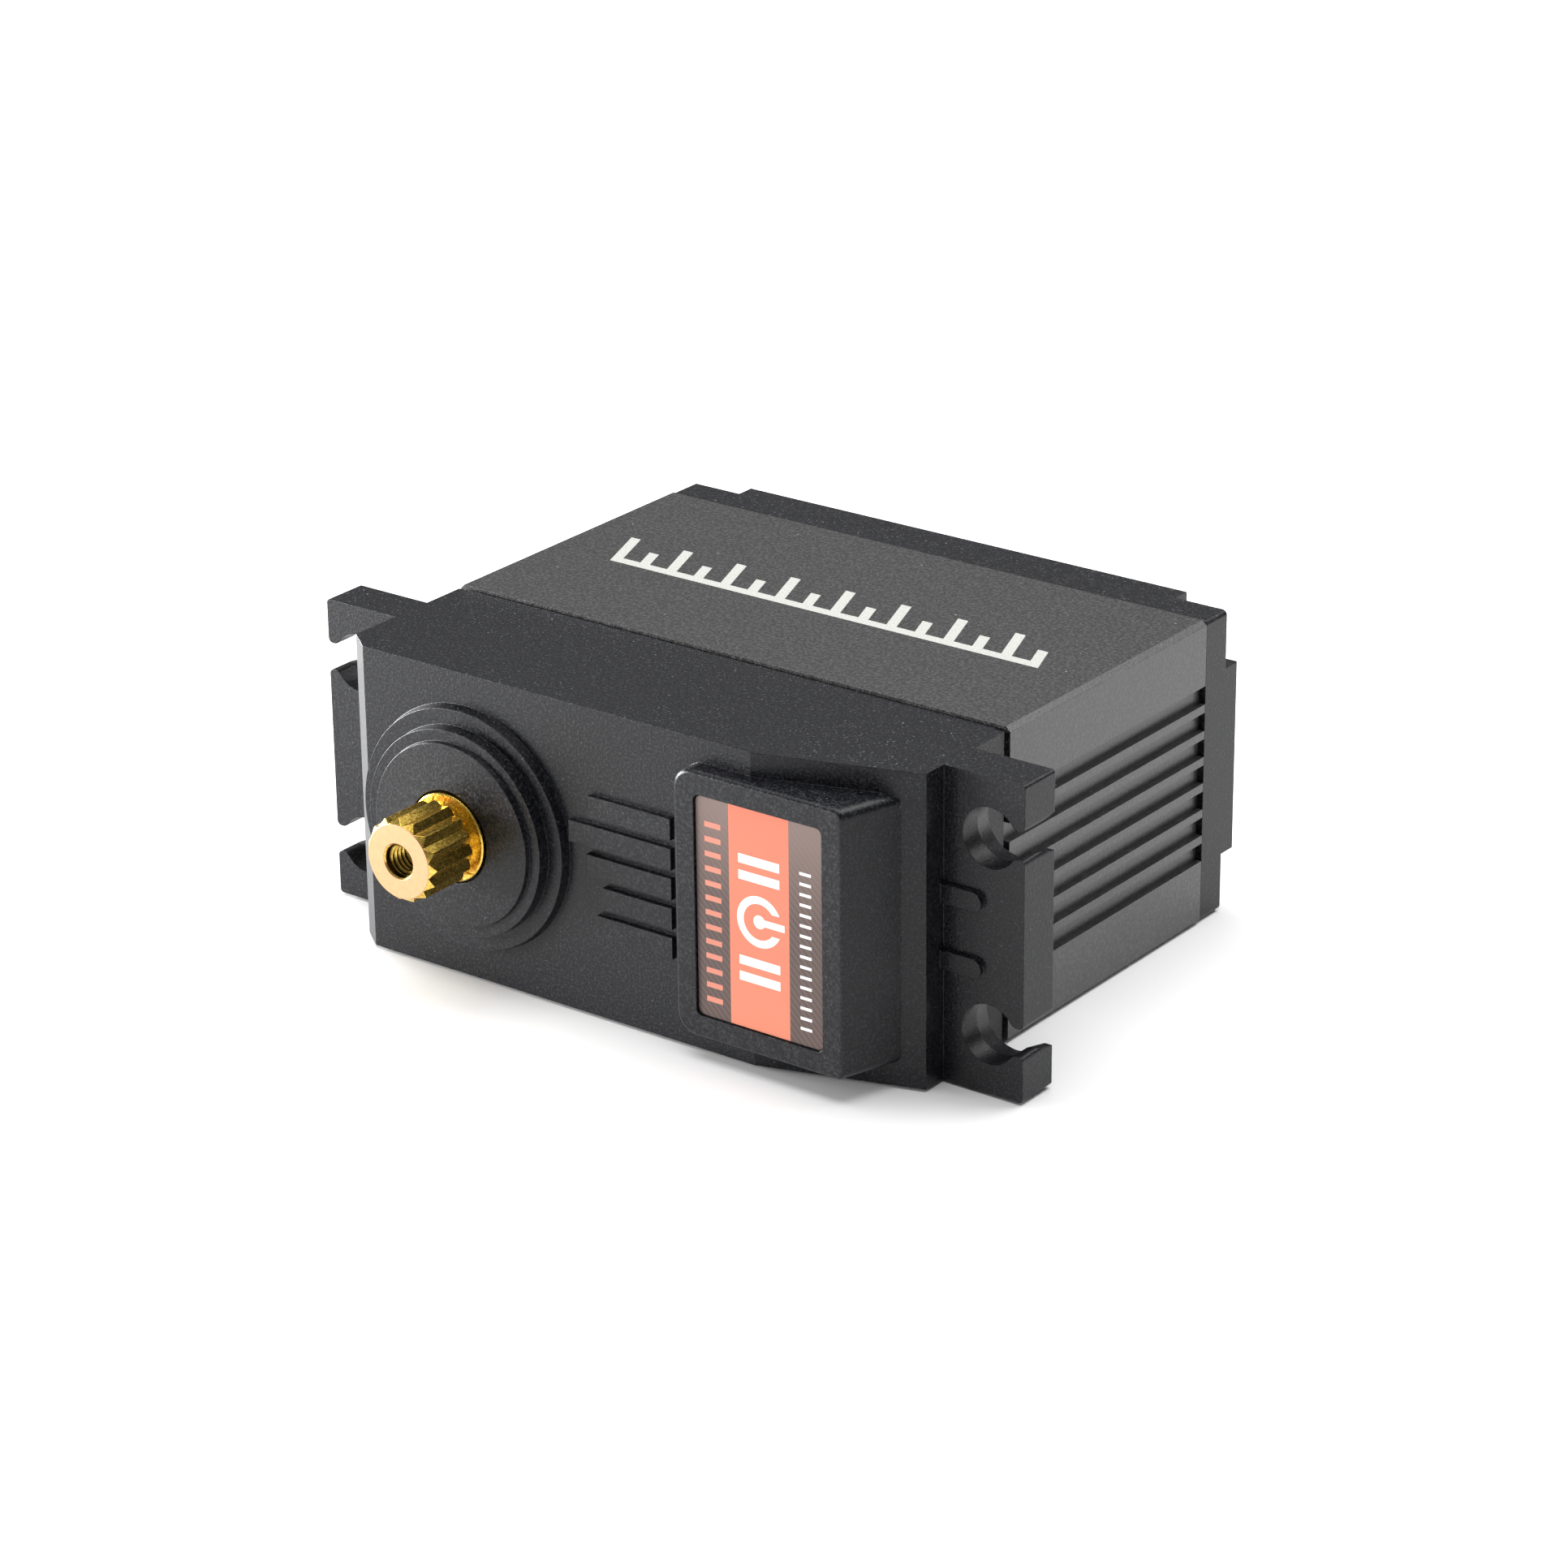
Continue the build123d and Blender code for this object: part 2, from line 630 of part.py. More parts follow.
with BuildPart() as output_shaft:
    with BuildSketch(Plane.XY):
        with BuildLine():
            Polyline((0, spline_end_y), (spline_face_radius, spline_end_y),
                     (spline_tip_radius, spline_end_y + spline_chamfer),
                     (spline_tip_radius, spline_start_y - spline_back_chamfer),
                     (spline_tip_radius - spline_back_chamfer, spline_start_y),
                     (neck_radius, spline_start_y),
                     (neck_radius, collar_face_y),
                     (collar_radius - collar_chamfer, collar_face_y),
                     (collar_radius, collar_face_y + collar_chamfer), (collar_radius, collar_back_y),
                     (journal_radius, collar_back_y), (journal_radius, shaft_step_y),
                     (lower_shaft_radius, shaft_step_y), (lower_shaft_radius, rear_bearing_y),
                     (rear_bearing_size[0], rear_bearing_y), (rear_bearing_size[0], shaft_end_y),
                     (0, shaft_end_y), close=True)
        make_face()
    revolve(axis=Axis.Y)
    # tooth spaces of the spline
    with BuildSketch(plane_at(spline_end_y)):
        with PolarLocations(0, spline_teeth, start_angle=spline_phase):
            Polygon(*space_corners, align=None)
    extrude(amount=spline_end_y - spline_start_y, mode=Mode.SUBTRACT)
    # shallow marks that the tooth spaces leave in the face of the collar
    with BuildSketch(plane_at(collar_face_y)):
        with PolarLocations(mark_circle_radius, spline_teeth, start_angle=mark_phase):
            Circle(mark_radius)
        Circle(neck_radius, mode=Mode.SUBTRACT)
    extrude(amount=-mark_depth, mode=Mode.SUBTRACT)
    # hole for the horn screw, with a countersunk mouth
    with BuildSketch(Plane.XY):
        with BuildLine():
            Polyline((0, spline_end_y), (screw_countersink_radius, spline_end_y),
                     (screw_hole_radius, spline_end_y + screw_countersink_radius - screw_hole_radius),
                     (screw_hole_radius, spline_end_y + screw_hole_depth),
                     (0, spline_end_y + screw_hole_depth + screw_hole_cone), close=True)
        make_face()
    revolve(axis=Axis.Y, mode=Mode.SUBTRACT)
    # D-shaped socket for the potentiometer shaft
    with BuildSketch(plane_at(shaft_end_y)):
        Circle(pot_shaft_radius)
        with Locations((0, pot_shaft_radius)):
            Rectangle(2 * pot_shaft_radius, 2 * flat_depth, mode=Mode.SUBTRACT)
    extrude(amount=shaft_end_y - pot_shaft_front_y, mode=Mode.SUBTRACT)

# ---------------------------------------------------------------- gears
output_phase = 0.0
third_pinion_phase = meshing_phase(output_teeth, output_phase, output_axis,
                                   third_pinion_teeth, near_pin)
third_phase = 0.0
second_pinion_phase = meshing_phase(third_teeth, third_phase, near_pin,
                                    second_pinion_teeth, far_pin)
second_phase = 0.0
first_pinion_phase = meshing_phase(second_teeth, second_phase, far_pin,
                                   fine_pinion_teeth, near_pin)
first_phase = 0.0
motor_pinion_phase = meshing_phase(first_teeth, first_phase, near_pin,
                                   fine_pinion_teeth, motor_axis)


def gear_face(teeth, module, phase, axis, y):
    """Flat outline of one toothed wheel, lying at depth y round an axis given as (x, z)."""
    with BuildSketch(plane_at(y, axis)) as outline:
        with BuildLine():
            Polyline(*gear_outline(teeth, module, phase), close=True)
        make_face()
    return outline.sketch


def compound_gear(wheel, pinion, axis):
    """Wheel and pinion on one hub with a bore for a steel pin.

    Each is given as (teeth, module, phase, span).
    """
    front = min(wheel[3][0], pinion[3][0])
    back = max(wheel[3][1], pinion[3][1])
    with BuildPart() as piece:
        for teeth, module, phase, span in (wheel, pinion):
            extrude(gear_face(teeth, module, phase, axis, span[1]), amount=span[1] - span[0])
        with BuildSketch(plane_at(back, axis)):
            Circle(pin_radius + pin_clearance)
        extrude(amount=back - front, mode=Mode.SUBTRACT)
    return piece


with BuildPart() as output_gear:
    rim_face = gear_face(output_teeth, output_module, output_phase, output_axis, output_gear_y[1])
    extrude(rim_face, amount=output_gear_y[1] - output_gear_y[0])
    with BuildSketch(plane_at(shaft_step_y)):
        Circle(output_hub_radius)
    extrude(amount=shaft_step_y - front_bearing_back)
    with BuildSketch(plane_at(shaft_step_y)):
        Circle(journal_radius)
    extrude(amount=shaft_step_y, mode=Mode.SUBTRACT)

third_wheel = (third_teeth, third_module, third_phase, third_wheel_y)
third_pinion = (third_pinion_teeth, output_module, third_pinion_phase, third_pinion_y)
third_gear = compound_gear(third_wheel, third_pinion, near_pin)

second_wheel = (second_teeth, fine_module, second_phase, second_wheel_y)
second_pinion = (second_pinion_teeth, third_module, second_pinion_phase, second_pinion_y)
second_gear = compound_gear(second_wheel, second_pinion, far_pin)

first_wheel = (first_teeth, fine_module, first_phase, first_wheel_y)
first_pinion = (fine_pinion_teeth, fine_module, first_pinion_phase, first_pinion_y)
first_gear = compound_gear(first_wheel, first_pinion, near_pin)

with BuildPart() as motor_pinion:
    pinion_face = gear_face(fine_pinion_teeth, fine_module, motor_pinion_phase, motor_axis,
                            motor_pinion_y[1])
    extrude(pinion_face, amount=motor_pinion_y[1] - motor_pinion_y[0])
    with BuildSketch(plane_at(motor_pinion_y[1], motor_axis)):
        Circle(motor_shaft_radius)
    extrude(amount=motor_pinion_y[1] - motor_pinion_y[0], mode=Mode.SUBTRACT)

with BuildPart() as gear_pins:
    with BuildSketch(plane_at(pin_rear_y)):
        with Locations(near_pin, far_pin):
            Circle(pin_radius)
    extrude(amount=pin_rear_y - pin_front_y)

# sleeves on the pins hold each gear at its own depth: axis, outer radius, front face, back face
sleeve_gap = 0.15
near_sleeve_radius = 1.6
far_sleeve_radius = 1.15
sleeves = (
    (near_pin, near_sleeve_radius, wall, third_pinion_y[0] - sleeve_gap),
    (near_pin, near_sleeve_radius, first_wheel_y[1] + sleeve_gap, middle_start_y),
    (far_pin, far_sleeve_radius, wall, second_pinion_y[0] - sleeve_gap),
    (far_pin, far_sleeve_radius, second_wheel_y[1] + sleeve_gap, middle_start_y),
)
with BuildPart() as gear_sleeves:
    for axis, outer_radius, front_y, back_y in sleeves:
        with BuildSketch(plane_at(back_y, axis)):
            Circle(outer_radius)
            Circle(pin_radius, mode=Mode.SUBTRACT)
        extrude(amount=back_y - front_y)


# ---------------------------------------------------------------- ball bearings
def bearing_ring(inner_radius, outer_radius, front_y, width, groove_at, groove_radius):
    """One bearing race: a ring with a ball groove."""
    with BuildPart() as piece:
        with BuildSketch(Plane.XY):
            with BuildLine():
                section = ring_profile(inner_radius, outer_radius, front_y, front_y + width)
                Polyline(*section, close=True)
            make_face()
            with Locations((groove_at, front_y + width / 2)):
                Circle(groove_radius, mode=Mode.SUBTRACT)
        revolve(axis=Axis.Y)
    return piece


def ball_set(pitch_radius, ball_radius, count, y):
    """Ring of loose balls, none of them touching its neighbour."""
    with BuildPart() as piece:
        with Locations(plane_at(y)):
            with PolarLocations(pitch_radius, count):
                Sphere(ball_radius)
    return piece


race_share = 0.36
ball_share = 0.24
groove_gap = 0.03
front_ball_count = 13
rear_ball_count = 12


def bearing(size, front_y, ball_count):
    """Outer race, inner race and balls of one bearing."""
    bore, outside, width = size
    span = outside - bore
    ball_radius = span * ball_share
    pitch_radius = (bore + outside) / 2
    race = span * race_share
    outer = bearing_ring(outside - race, outside, front_y, width, pitch_radius, ball_radius + groove_gap)
    inner = bearing_ring(bore, bore + race, front_y, width, pitch_radius, ball_radius + groove_gap)
    balls = ball_set(pitch_radius, ball_radius, ball_count, front_y + width / 2)
    return outer, inner, balls


front_races = bearing(front_bearing_size, front_bearing_y, front_ball_count)
front_bearing_outer, front_bearing_inner, front_bearing_balls = front_races
rear_races = bearing(rear_bearing_size, rear_bearing_y, rear_ball_count)
rear_bearing_outer, rear_bearing_inner, rear_bearing_balls = rear_races

# ---------------------------------------------------------------- motor
with BuildPart() as motor_can:
    with BuildSketch(plane_at(motor_can_back_y, motor_axis)):
        Circle(motor_radius)
    extrude(amount=motor_can_back_y - motor_front_y)
    with BuildSketch(plane_at(motor_front_y, motor_axis)):
        Circle(motor_boss_radius)
    extrude(amount=motor_front_y - middle_start_y - motor_boss_gap)
    with BuildSketch(plane_at(motor_can_back_y, motor_axis)):
        Circle(motor_radius - motor_wall)
    extrude(amount=motor_can_back_y - motor_front_y - motor_front_wall, mode=Mode.SUBTRACT)
    with BuildSketch(plane_at(motor_can_back_y, motor_axis)):
        Circle(motor_shaft_radius + motor_shaft_clearance)
    extrude(amount=motor_can_back_y - middle_start_y, mode=Mode.SUBTRACT)
    with BuildSketch(plane_at(motor_front_y, motor_axis)):
        with Locations(*motor_screw_spots):
            Circle(motor_screw_radius)
    extrude(amount=-motor_front_wall, mode=Mode.SUBTRACT)

magnet_radius = motor_radius - motor_wall
magnet_thickness = 1.8
magnet_span = 140.0
magnet_gap = 2 * magnet_radius * math.cos(math.radians(magnet_span / 2))
with BuildPart() as motor_magnets:
    with BuildSketch(plane_at(magnet_y[1], motor_axis)):
        Circle(magnet_radius)
        Circle(magnet_radius - magnet_thickness, mode=Mode.SUBTRACT)
        Rectangle(2 * magnet_radius, magnet_gap, mode=Mode.SUBTRACT)
    extrude(amount=magnet_y[1] - magnet_y[0])

air_gap = 0.4
armature_radius = magnet_radius - magnet_thickness - air_gap
slot_count = 5
slot_inset = 1.7
slot_radius = 1.25
slot_mouth_length = 2.6
slot_mouth_width = 0.8
wire_bundle_radius = 1.1
end_turn_inset = 0.35
with BuildPart() as motor_armature:
    with BuildSketch(plane_at(core_y[1], motor_axis)):
        Circle(armature_radius)
        with PolarLocations(armature_radius - slot_inset, slot_count):
            Circle(slot_radius, mode=Mode.SUBTRACT)
        with PolarLocations(armature_radius, slot_count):
            Rectangle(slot_mouth_length, slot_mouth_width, mode=Mode.SUBTRACT)
        Circle(motor_shaft_radius, mode=Mode.SUBTRACT)
    extrude(amount=core_y[1] - core_y[0])

with BuildPart() as motor_windings:
    with BuildSketch(plane_at(core_y[1], motor_axis)):
        with PolarLocations(armature_radius - slot_inset, slot_count):
            Circle(wire_bundle_radius)
    extrude(amount=core_y[1] - core_y[0])
    for y in (core_y[0], core_y[1] + end_turn_height):
        with BuildSketch(plane_at(y, motor_axis)):
            Circle(armature_radius - end_turn_inset)
            Circle(motor_shaft_radius, mode=Mode.SUBTRACT)
        extrude(amount=end_turn_height)

with BuildPart() as motor_shaft:
    with BuildSketch(plane_at(motor_shaft_back_y, motor_axis)):
        Circle(motor_shaft_radius)
    extrude(amount=motor_shaft_back_y - motor_pinion_y[0] + motor_shaft_front_tip)

commutator_radius = 2.2
commutator_cut_depth = 0.8
commutator_cut_width = 0.3
with BuildPart() as motor_commutator:
    with BuildSketch(plane_at(commutator_y[1], motor_axis)):
        Circle(commutator_radius)
        Circle(motor_shaft_radius, mode=Mode.SUBTRACT)
        with PolarLocations(commutator_radius, slot_count):
            Rectangle(commutator_cut_depth, commutator_cut_width, mode=Mode.SUBTRACT)
    extrude(amount=commutator_y[1] - commutator_y[0])

brush_front_y = 38.8
brush_back_y = 40.4
brush_inner_x = 2.3
brush_outer_x = 4.5
brush_width = 1.2
brush_post_length = 1.4
brush_post_width = 2.4
bell_rim_thickness = 0.98
bell_rim_height = 0.8
bell_rim_gap = 0.02
tab_offset = 7.2
tab_thickness = 0.5
tab_width = 2.0
tab_tip = 0.6
with BuildPart() as motor_end_bell:
    with BuildSketch(plane_at(bell_back_y, motor_axis)):
        Circle(motor_radius)
    extrude(amount=bell_back_y - motor_can_back_y)
    with BuildSketch(plane_at(motor_can_back_y, motor_axis)):
        Circle(magnet_radius - bell_rim_gap)
        Circle(magnet_radius - bell_rim_gap - bell_rim_thickness, mode=Mode.SUBTRACT)
    extrude(amount=bell_rim_height)
    with BuildSketch(plane_at(bell_bearing_y, motor_axis)):
        Circle(motor_shaft_radius + motor_shaft_clearance)
    extrude(amount=bell_bearing_y - motor_can_back_y, mode=Mode.SUBTRACT)
    with BuildSketch(plane_at(motor_can_back_y, motor_axis)):
        for side in (-1, 1):
            with Locations((side * (brush_outer_x + brush_post_length / 2), 0)):
                Rectangle(brush_post_length, brush_post_width)
    extrude(amount=motor_can_back_y - brush_front_y)
    with BuildSketch(plane_at(bell_back_y, motor_axis)):
        for side in (-1, 1):
            with Locations((side * tab_offset, 0)):
                Rectangle(tab_thickness, tab_width)
    extrude(amount=bell_back_y - brush_front_y, mode=Mode.SUBTRACT)

tab_back_y = board_front_y + board_thickness + tab_tip
with BuildPart() as motor_terminals:
    with BuildSketch(plane_at(tab_back_y, motor_axis)):
        for side in (-1, 1):
            with Locations((side * tab_offset, 0)):
                Rectangle(tab_thickness, tab_width)
    extrude(amount=tab_back_y - motor_can_back_y)

with BuildPart() as motor_brushes:
    with BuildSketch(plane_at(brush_back_y, motor_axis)):
        for side in (-1, 1):
            with Locations((side * (brush_inner_x + brush_outer_x) / 2, 0)):
                Rectangle(brush_outer_x - brush_inner_x, brush_width)
    extrude(amount=brush_back_y - brush_front_y)

motor_screw_seat_y = middle_start_y + motor_screw_seat_depth - motor_screw_gap
motor_screw_tip_y = motor_front_y + motor_front_wall - motor_screw_gap
with BuildPart() as motor_screws:
    with BuildSketch(plane_at(motor_screw_seat_y, motor_axis)):
        with Locations(*motor_screw_spots):
            Circle(motor_screw_head_radius)
    extrude(amount=motor_screw_head_height)
    with BuildSketch(plane_at(motor_screw_tip_y, motor_axis)):
        with Locations(*motor_screw_spots):
            Circle(motor_screw_radius)
    extrude(amount=motor_screw_tip_y - motor_screw_seat_y)

# ---------------------------------------------------------------- potentiometer
with BuildPart() as pot_body:
    with BuildSketch(plane_at(pot_back_y)):
        Circle(pot_radius)
    extrude(amount=pot_back_y - pot_front_y)
    with BuildSketch(plane_at(pot_socket_y)):
        Circle(pot_shaft_radius + pot_shaft_clearance)
    extrude(amount=pot_socket_y - pot_front_y, mode=Mode.SUBTRACT)

with BuildPart() as pot_shaft:
    with BuildSketch(plane_at(pot_shaft_back_y)):
        Circle(pot_shaft_radius)
    extrude(amount=pot_shaft_back_y - shaft_end_y)
    with BuildSketch(plane_at(shaft_end_y)):
        Circle(pot_shaft_radius)
        with Locations((0, pot_shaft_radius)):
            Rectangle(2 * pot_shaft_radius, 2 * flat_depth, mode=Mode.SUBTRACT)
    extrude(amount=shaft_end_y - pot_shaft_front_y)

pot_lead_radius = 0.35
pot_lead_spacing = 2.5
pot_lead_spots = [(0, index * pot_lead_spacing) for index in (-1, 0, 1)]
pot_lead_back_y = board_front_y + board_thickness + 0.5
with BuildPart() as pot_leads:
    with BuildSketch(plane_at(pot_lead_back_y)):
        with Locations(*pot_lead_spots):
            Circle(pot_lead_radius)
    extrude(amount=pot_lead_back_y - pot_back_y)

# ---------------------------------------------------------------- circuit board
board_margin = 0.4
tab_slots = [(motor_x + offset, motor_z) for offset in (-tab_offset, tab_offset)]
with BuildPart() as circuit_board:
    with BuildSketch(plane_at(board_front_y + board_thickness, (x_mid, 0))):
        Rectangle(case_length - 2 * wall - 2 * board_margin, case_width - 4 * screw_inset)
        Rectangle(case_length - 4 * screw_inset, case_width - 2 * wall - 2 * board_margin)
    extrude(amount=board_thickness)
    with BuildSketch(plane_at(board_front_y + board_thickness)):
        with Locations(*pot_lead_spots):
            Circle(pot_lead_radius)
        with Locations(*tab_slots):
            Rectangle(tab_thickness, tab_width)
    extrude(amount=board_thickness, mode=Mode.SUBTRACT)

# centre x, centre z, length and width of every chip
chip_spots = (
    (9.0, 5.5, 6.0, 5.0),
    (9.0, -5.5, 6.0, 5.0),
    (16.5, 5.5, 5.0, 5.0),
    (16.5, -5.5, 5.0, 5.0),
)
chip_height = 1.2
capacitor_spot = (12.0, 7.5)
capacitor_radius = 2.5
capacitor_height = 6.0
with BuildPart() as board_chips:
    with BuildSketch(plane_at(board_front_y + board_thickness)):
        for x, z, length, width in chip_spots:
            with Locations((x, z)):
                Rectangle(length, width)
    extrude(amount=-chip_height)

with BuildPart() as board_capacitor:
    with BuildSketch(plane_at(board_front_y, capacitor_spot)):
        Circle(capacitor_radius)
    extrude(amount=capacitor_height)

# ---------------------------------------------------------------- seals
seal_gap = 0.04
seal_y = (-2.15, -1.5)
with BuildPart() as shaft_seal:
    with BuildSketch(Plane.XY):
        with BuildLine():
            section = ring_profile(journal_radius + seal_gap, shaft_hole_radius, *seal_y)
            Polyline(*section, close=True)
        make_face()
    revolve(axis=Axis.Y)

grommet_flange = 0.6
grommet_wall = 1.0
with BuildPart() as cable_grommet:
    with BuildSketch(Plane(origin=(x_near, inlet_y, 0), x_dir=(0, 1, 0), z_dir=(1, 0, 0))):
        Circle(inlet_radius)
        Circle(inlet_radius - grommet_wall, mode=Mode.SUBTRACT)
    extrude(amount=wall)
    with BuildSketch(Plane(origin=(x_near + wall, inlet_y, 0), x_dir=(0, 1, 0), z_dir=(1, 0, 0))):
        Circle(inlet_radius + grommet_flange)
        Circle(inlet_radius - grommet_wall, mode=Mode.SUBTRACT)
    extrude(amount=grommet_flange)

# ---------------------------------------------------------------- names and files
label_and_save(gear_case.part, "gear_case")
label_and_save(label.part, "label")
label_and_save(middle_case.part, "middle_case")
label_and_save(bottom_cover.part, "bottom_cover")
label_and_save(front_gasket.part, "front_gasket")
label_and_save(rear_gasket.part, "rear_gasket")
label_and_save(case_screws.part, "case_screws")
label_and_save(output_shaft.part, "output_shaft")
label_and_save(output_gear.part, "output_gear")
label_and_save(third_gear.part, "third_gear")
label_and_save(second_gear.part, "second_gear")
label_and_save(first_gear.part, "first_gear")
label_and_save(gear_pins.part, "gear_pins")
label_and_save(gear_sleeves.part, "gear_sleeves")
label_and_save(motor_pinion.part, "motor_pinion")
label_and_save(front_bearing_outer.part, "front_bearing_outer")
label_and_save(front_bearing_inner.part, "front_bearing_inner")
label_and_save(front_bearing_balls.part, "front_bearing_balls")
label_and_save(rear_bearing_outer.part, "rear_bearing_outer")
label_and_save(rear_bearing_inner.part, "rear_bearing_inner")
label_and_save(rear_bearing_balls.part, "rear_bearing_balls")
label_and_save(motor_can.part, "motor_can")
label_and_save(motor_magnets.part, "motor_magnets")
label_and_save(motor_armature.part, "motor_armature")
label_and_save(motor_windings.part, "motor_windings")
label_and_save(motor_shaft.part, "motor_shaft")
label_and_save(motor_commutator.part, "motor_commutator")
label_and_save(motor_end_bell.part, "motor_end_bell")
label_and_save(motor_terminals.part, "motor_terminals")
label_and_save(motor_brushes.part, "motor_brushes")
label_and_save(motor_screws.part, "motor_screws")
label_and_save(pot_body.part, "pot_body")
label_and_save(pot_shaft.part, "pot_shaft")
label_and_save(pot_leads.part, "pot_leads")
label_and_save(circuit_board.part, "circuit_board")
label_and_save(board_chips.part, "board_chips")
label_and_save(board_capacitor.part, "board_capacitor")
label_and_save(shaft_seal.part, "shaft_seal")
label_and_save(cable_grommet.part, "cable_grommet")
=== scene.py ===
import bmesh
import bpy
import json
import math
from mathutils import Matrix, Vector


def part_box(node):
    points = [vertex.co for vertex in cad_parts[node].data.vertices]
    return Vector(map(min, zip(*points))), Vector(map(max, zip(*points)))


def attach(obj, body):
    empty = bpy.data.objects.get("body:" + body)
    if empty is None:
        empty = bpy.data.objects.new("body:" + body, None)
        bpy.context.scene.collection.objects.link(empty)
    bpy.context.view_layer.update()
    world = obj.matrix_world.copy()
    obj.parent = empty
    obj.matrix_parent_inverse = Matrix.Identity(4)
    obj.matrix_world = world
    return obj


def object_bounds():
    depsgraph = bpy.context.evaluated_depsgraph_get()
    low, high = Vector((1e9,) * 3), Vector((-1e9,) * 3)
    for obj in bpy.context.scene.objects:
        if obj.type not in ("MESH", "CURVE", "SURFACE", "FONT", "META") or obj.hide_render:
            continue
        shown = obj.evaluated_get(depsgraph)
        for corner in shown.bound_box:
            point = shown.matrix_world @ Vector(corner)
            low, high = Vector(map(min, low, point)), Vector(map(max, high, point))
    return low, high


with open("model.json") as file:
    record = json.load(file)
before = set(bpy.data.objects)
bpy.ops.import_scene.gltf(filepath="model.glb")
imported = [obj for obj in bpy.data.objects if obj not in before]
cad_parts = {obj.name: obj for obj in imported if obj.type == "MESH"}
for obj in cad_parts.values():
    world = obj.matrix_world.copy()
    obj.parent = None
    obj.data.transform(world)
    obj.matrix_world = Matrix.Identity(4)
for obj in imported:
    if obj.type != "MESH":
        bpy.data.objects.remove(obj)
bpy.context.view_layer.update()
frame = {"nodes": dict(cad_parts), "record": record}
nodes = frame["nodes"]


def grey(level, blue=0.0):
    return (level, level, level + blue, 1.0)


# ---------------------------------------------------------------- sizes in metres
# printed scale on the upper side of the middle case
SCALE_START = -0.0070
SCALE_PITCH = 0.00309
SCALE_STEPS = 15
SCALE_BAR = 0.0011
SCALE_BASE = 0.0293
SCALE_HEIGHT = 0.0060
SCALE_SHORT_SHARE = 0.62
SCALE_SLANT = 0.37

# printed label: heights are from its middle, the panel's edges are shares of its width
PANEL_EDGES = (0.262, 0.738)
BAND_FADE = (0.001, 0.0115)
TICK_BASE = -0.0088
NEAR_TICK_PITCH = 0.00135
NEAR_TICK_THICK = 0.00050
NEAR_TICK_TOP = 0.0086
NEAR_TICK_ENDS = (0.0009, 0.0026)
FAR_TICK_PITCH = 0.00095
FAR_TICK_THICK = 0.00028
FAR_TICK_TOP = 0.0058
FAR_TICK_ENDS = (0.0011, 0.0023)
DIAL_RING = (0.00165, 0.00235)
DIAL_GAP_HALF = 0.0010
DIAL_REACH = 0.0030
POINTER_LENGTH = 0.00265
POINTER_HALF = 0.00032
HUB_RADIUS = 0.00062
BAR_BASE = 0.0035
BAR_TOP = 0.00645
BAR_PITCH = 0.0015
BAR_THICK = 0.00085
BAR_HALF = 0.00215
BELOW_ZERO = -0.0010  # a lower limit that a distance never reaches

# output shaft: the thread in its mouth, where painted shade sits in its roots by radius, the collar
# behind the teeth
THREAD_ROOT_RADIUS = 0.00152
THREAD_CREST_RADIUS = 0.00124
THREAD_PITCH = 0.0005
THREAD_START = -0.00925
THREAD_END = -0.0050
THREAD_STEPS = 48
ROOT_SHADE_RISE = (0.00128, 0.00146)
ROOT_SHADE_FALL = (0.00158, 0.00154)
COLLAR_FRONT = (-0.00245, -0.00235)

# ---------------------------------------------------------------- colours
PLASTIC_DARK = (0.003, 0.0032, 0.005, 1)
PLASTIC_LIGHT = (0.036, 0.037, 0.041, 1)
METAL_DARK = grey(0.010)
METAL_LIGHT = grey(0.062)
METAL_DUST = grey(0.35)
SCALE_WHITE = (0.54, 0.54, 0.51, 1.0)
BRASS_DARK = (0.62, 0.39, 0.065, 1.0)
# the lighter brass is a painted glint, a highlight put into the colour
BRASS_PAINTED_GLINT = (0.92, 0.64, 0.14, 1.0)
BRASS_COLLAR = (0.26, 0.17, 0.036, 1.0)
BRASS_FACE_DARK = (0.60, 0.330, 0.178, 1.0)
BRASS_FACE_LIGHT = (0.65, 0.362, 0.198, 1.0)
# painted shade for the thread roots deep in the hole
THREAD_ROOT_PAINTED_SHADE = (0.05, 0.025, 0.008, 1.0)
BAND_DARK = (0.062, 0.038, 0.033, 1)
BAND_LINES = (0.125, 0.080, 0.068, 1)
BAND_FADED = (0.19, 0.130, 0.112, 1)
CORAL_LOW = (0.62, 0.188, 0.108, 1)
CORAL_HIGH = (0.60, 0.150, 0.084, 1)
CORAL_TICK = (0.58, 0.20, 0.135, 1)
LABEL_WHITE = (0.76, 0.75, 0.73, 1)

IOR = 1.5  # of plastic, paint and film


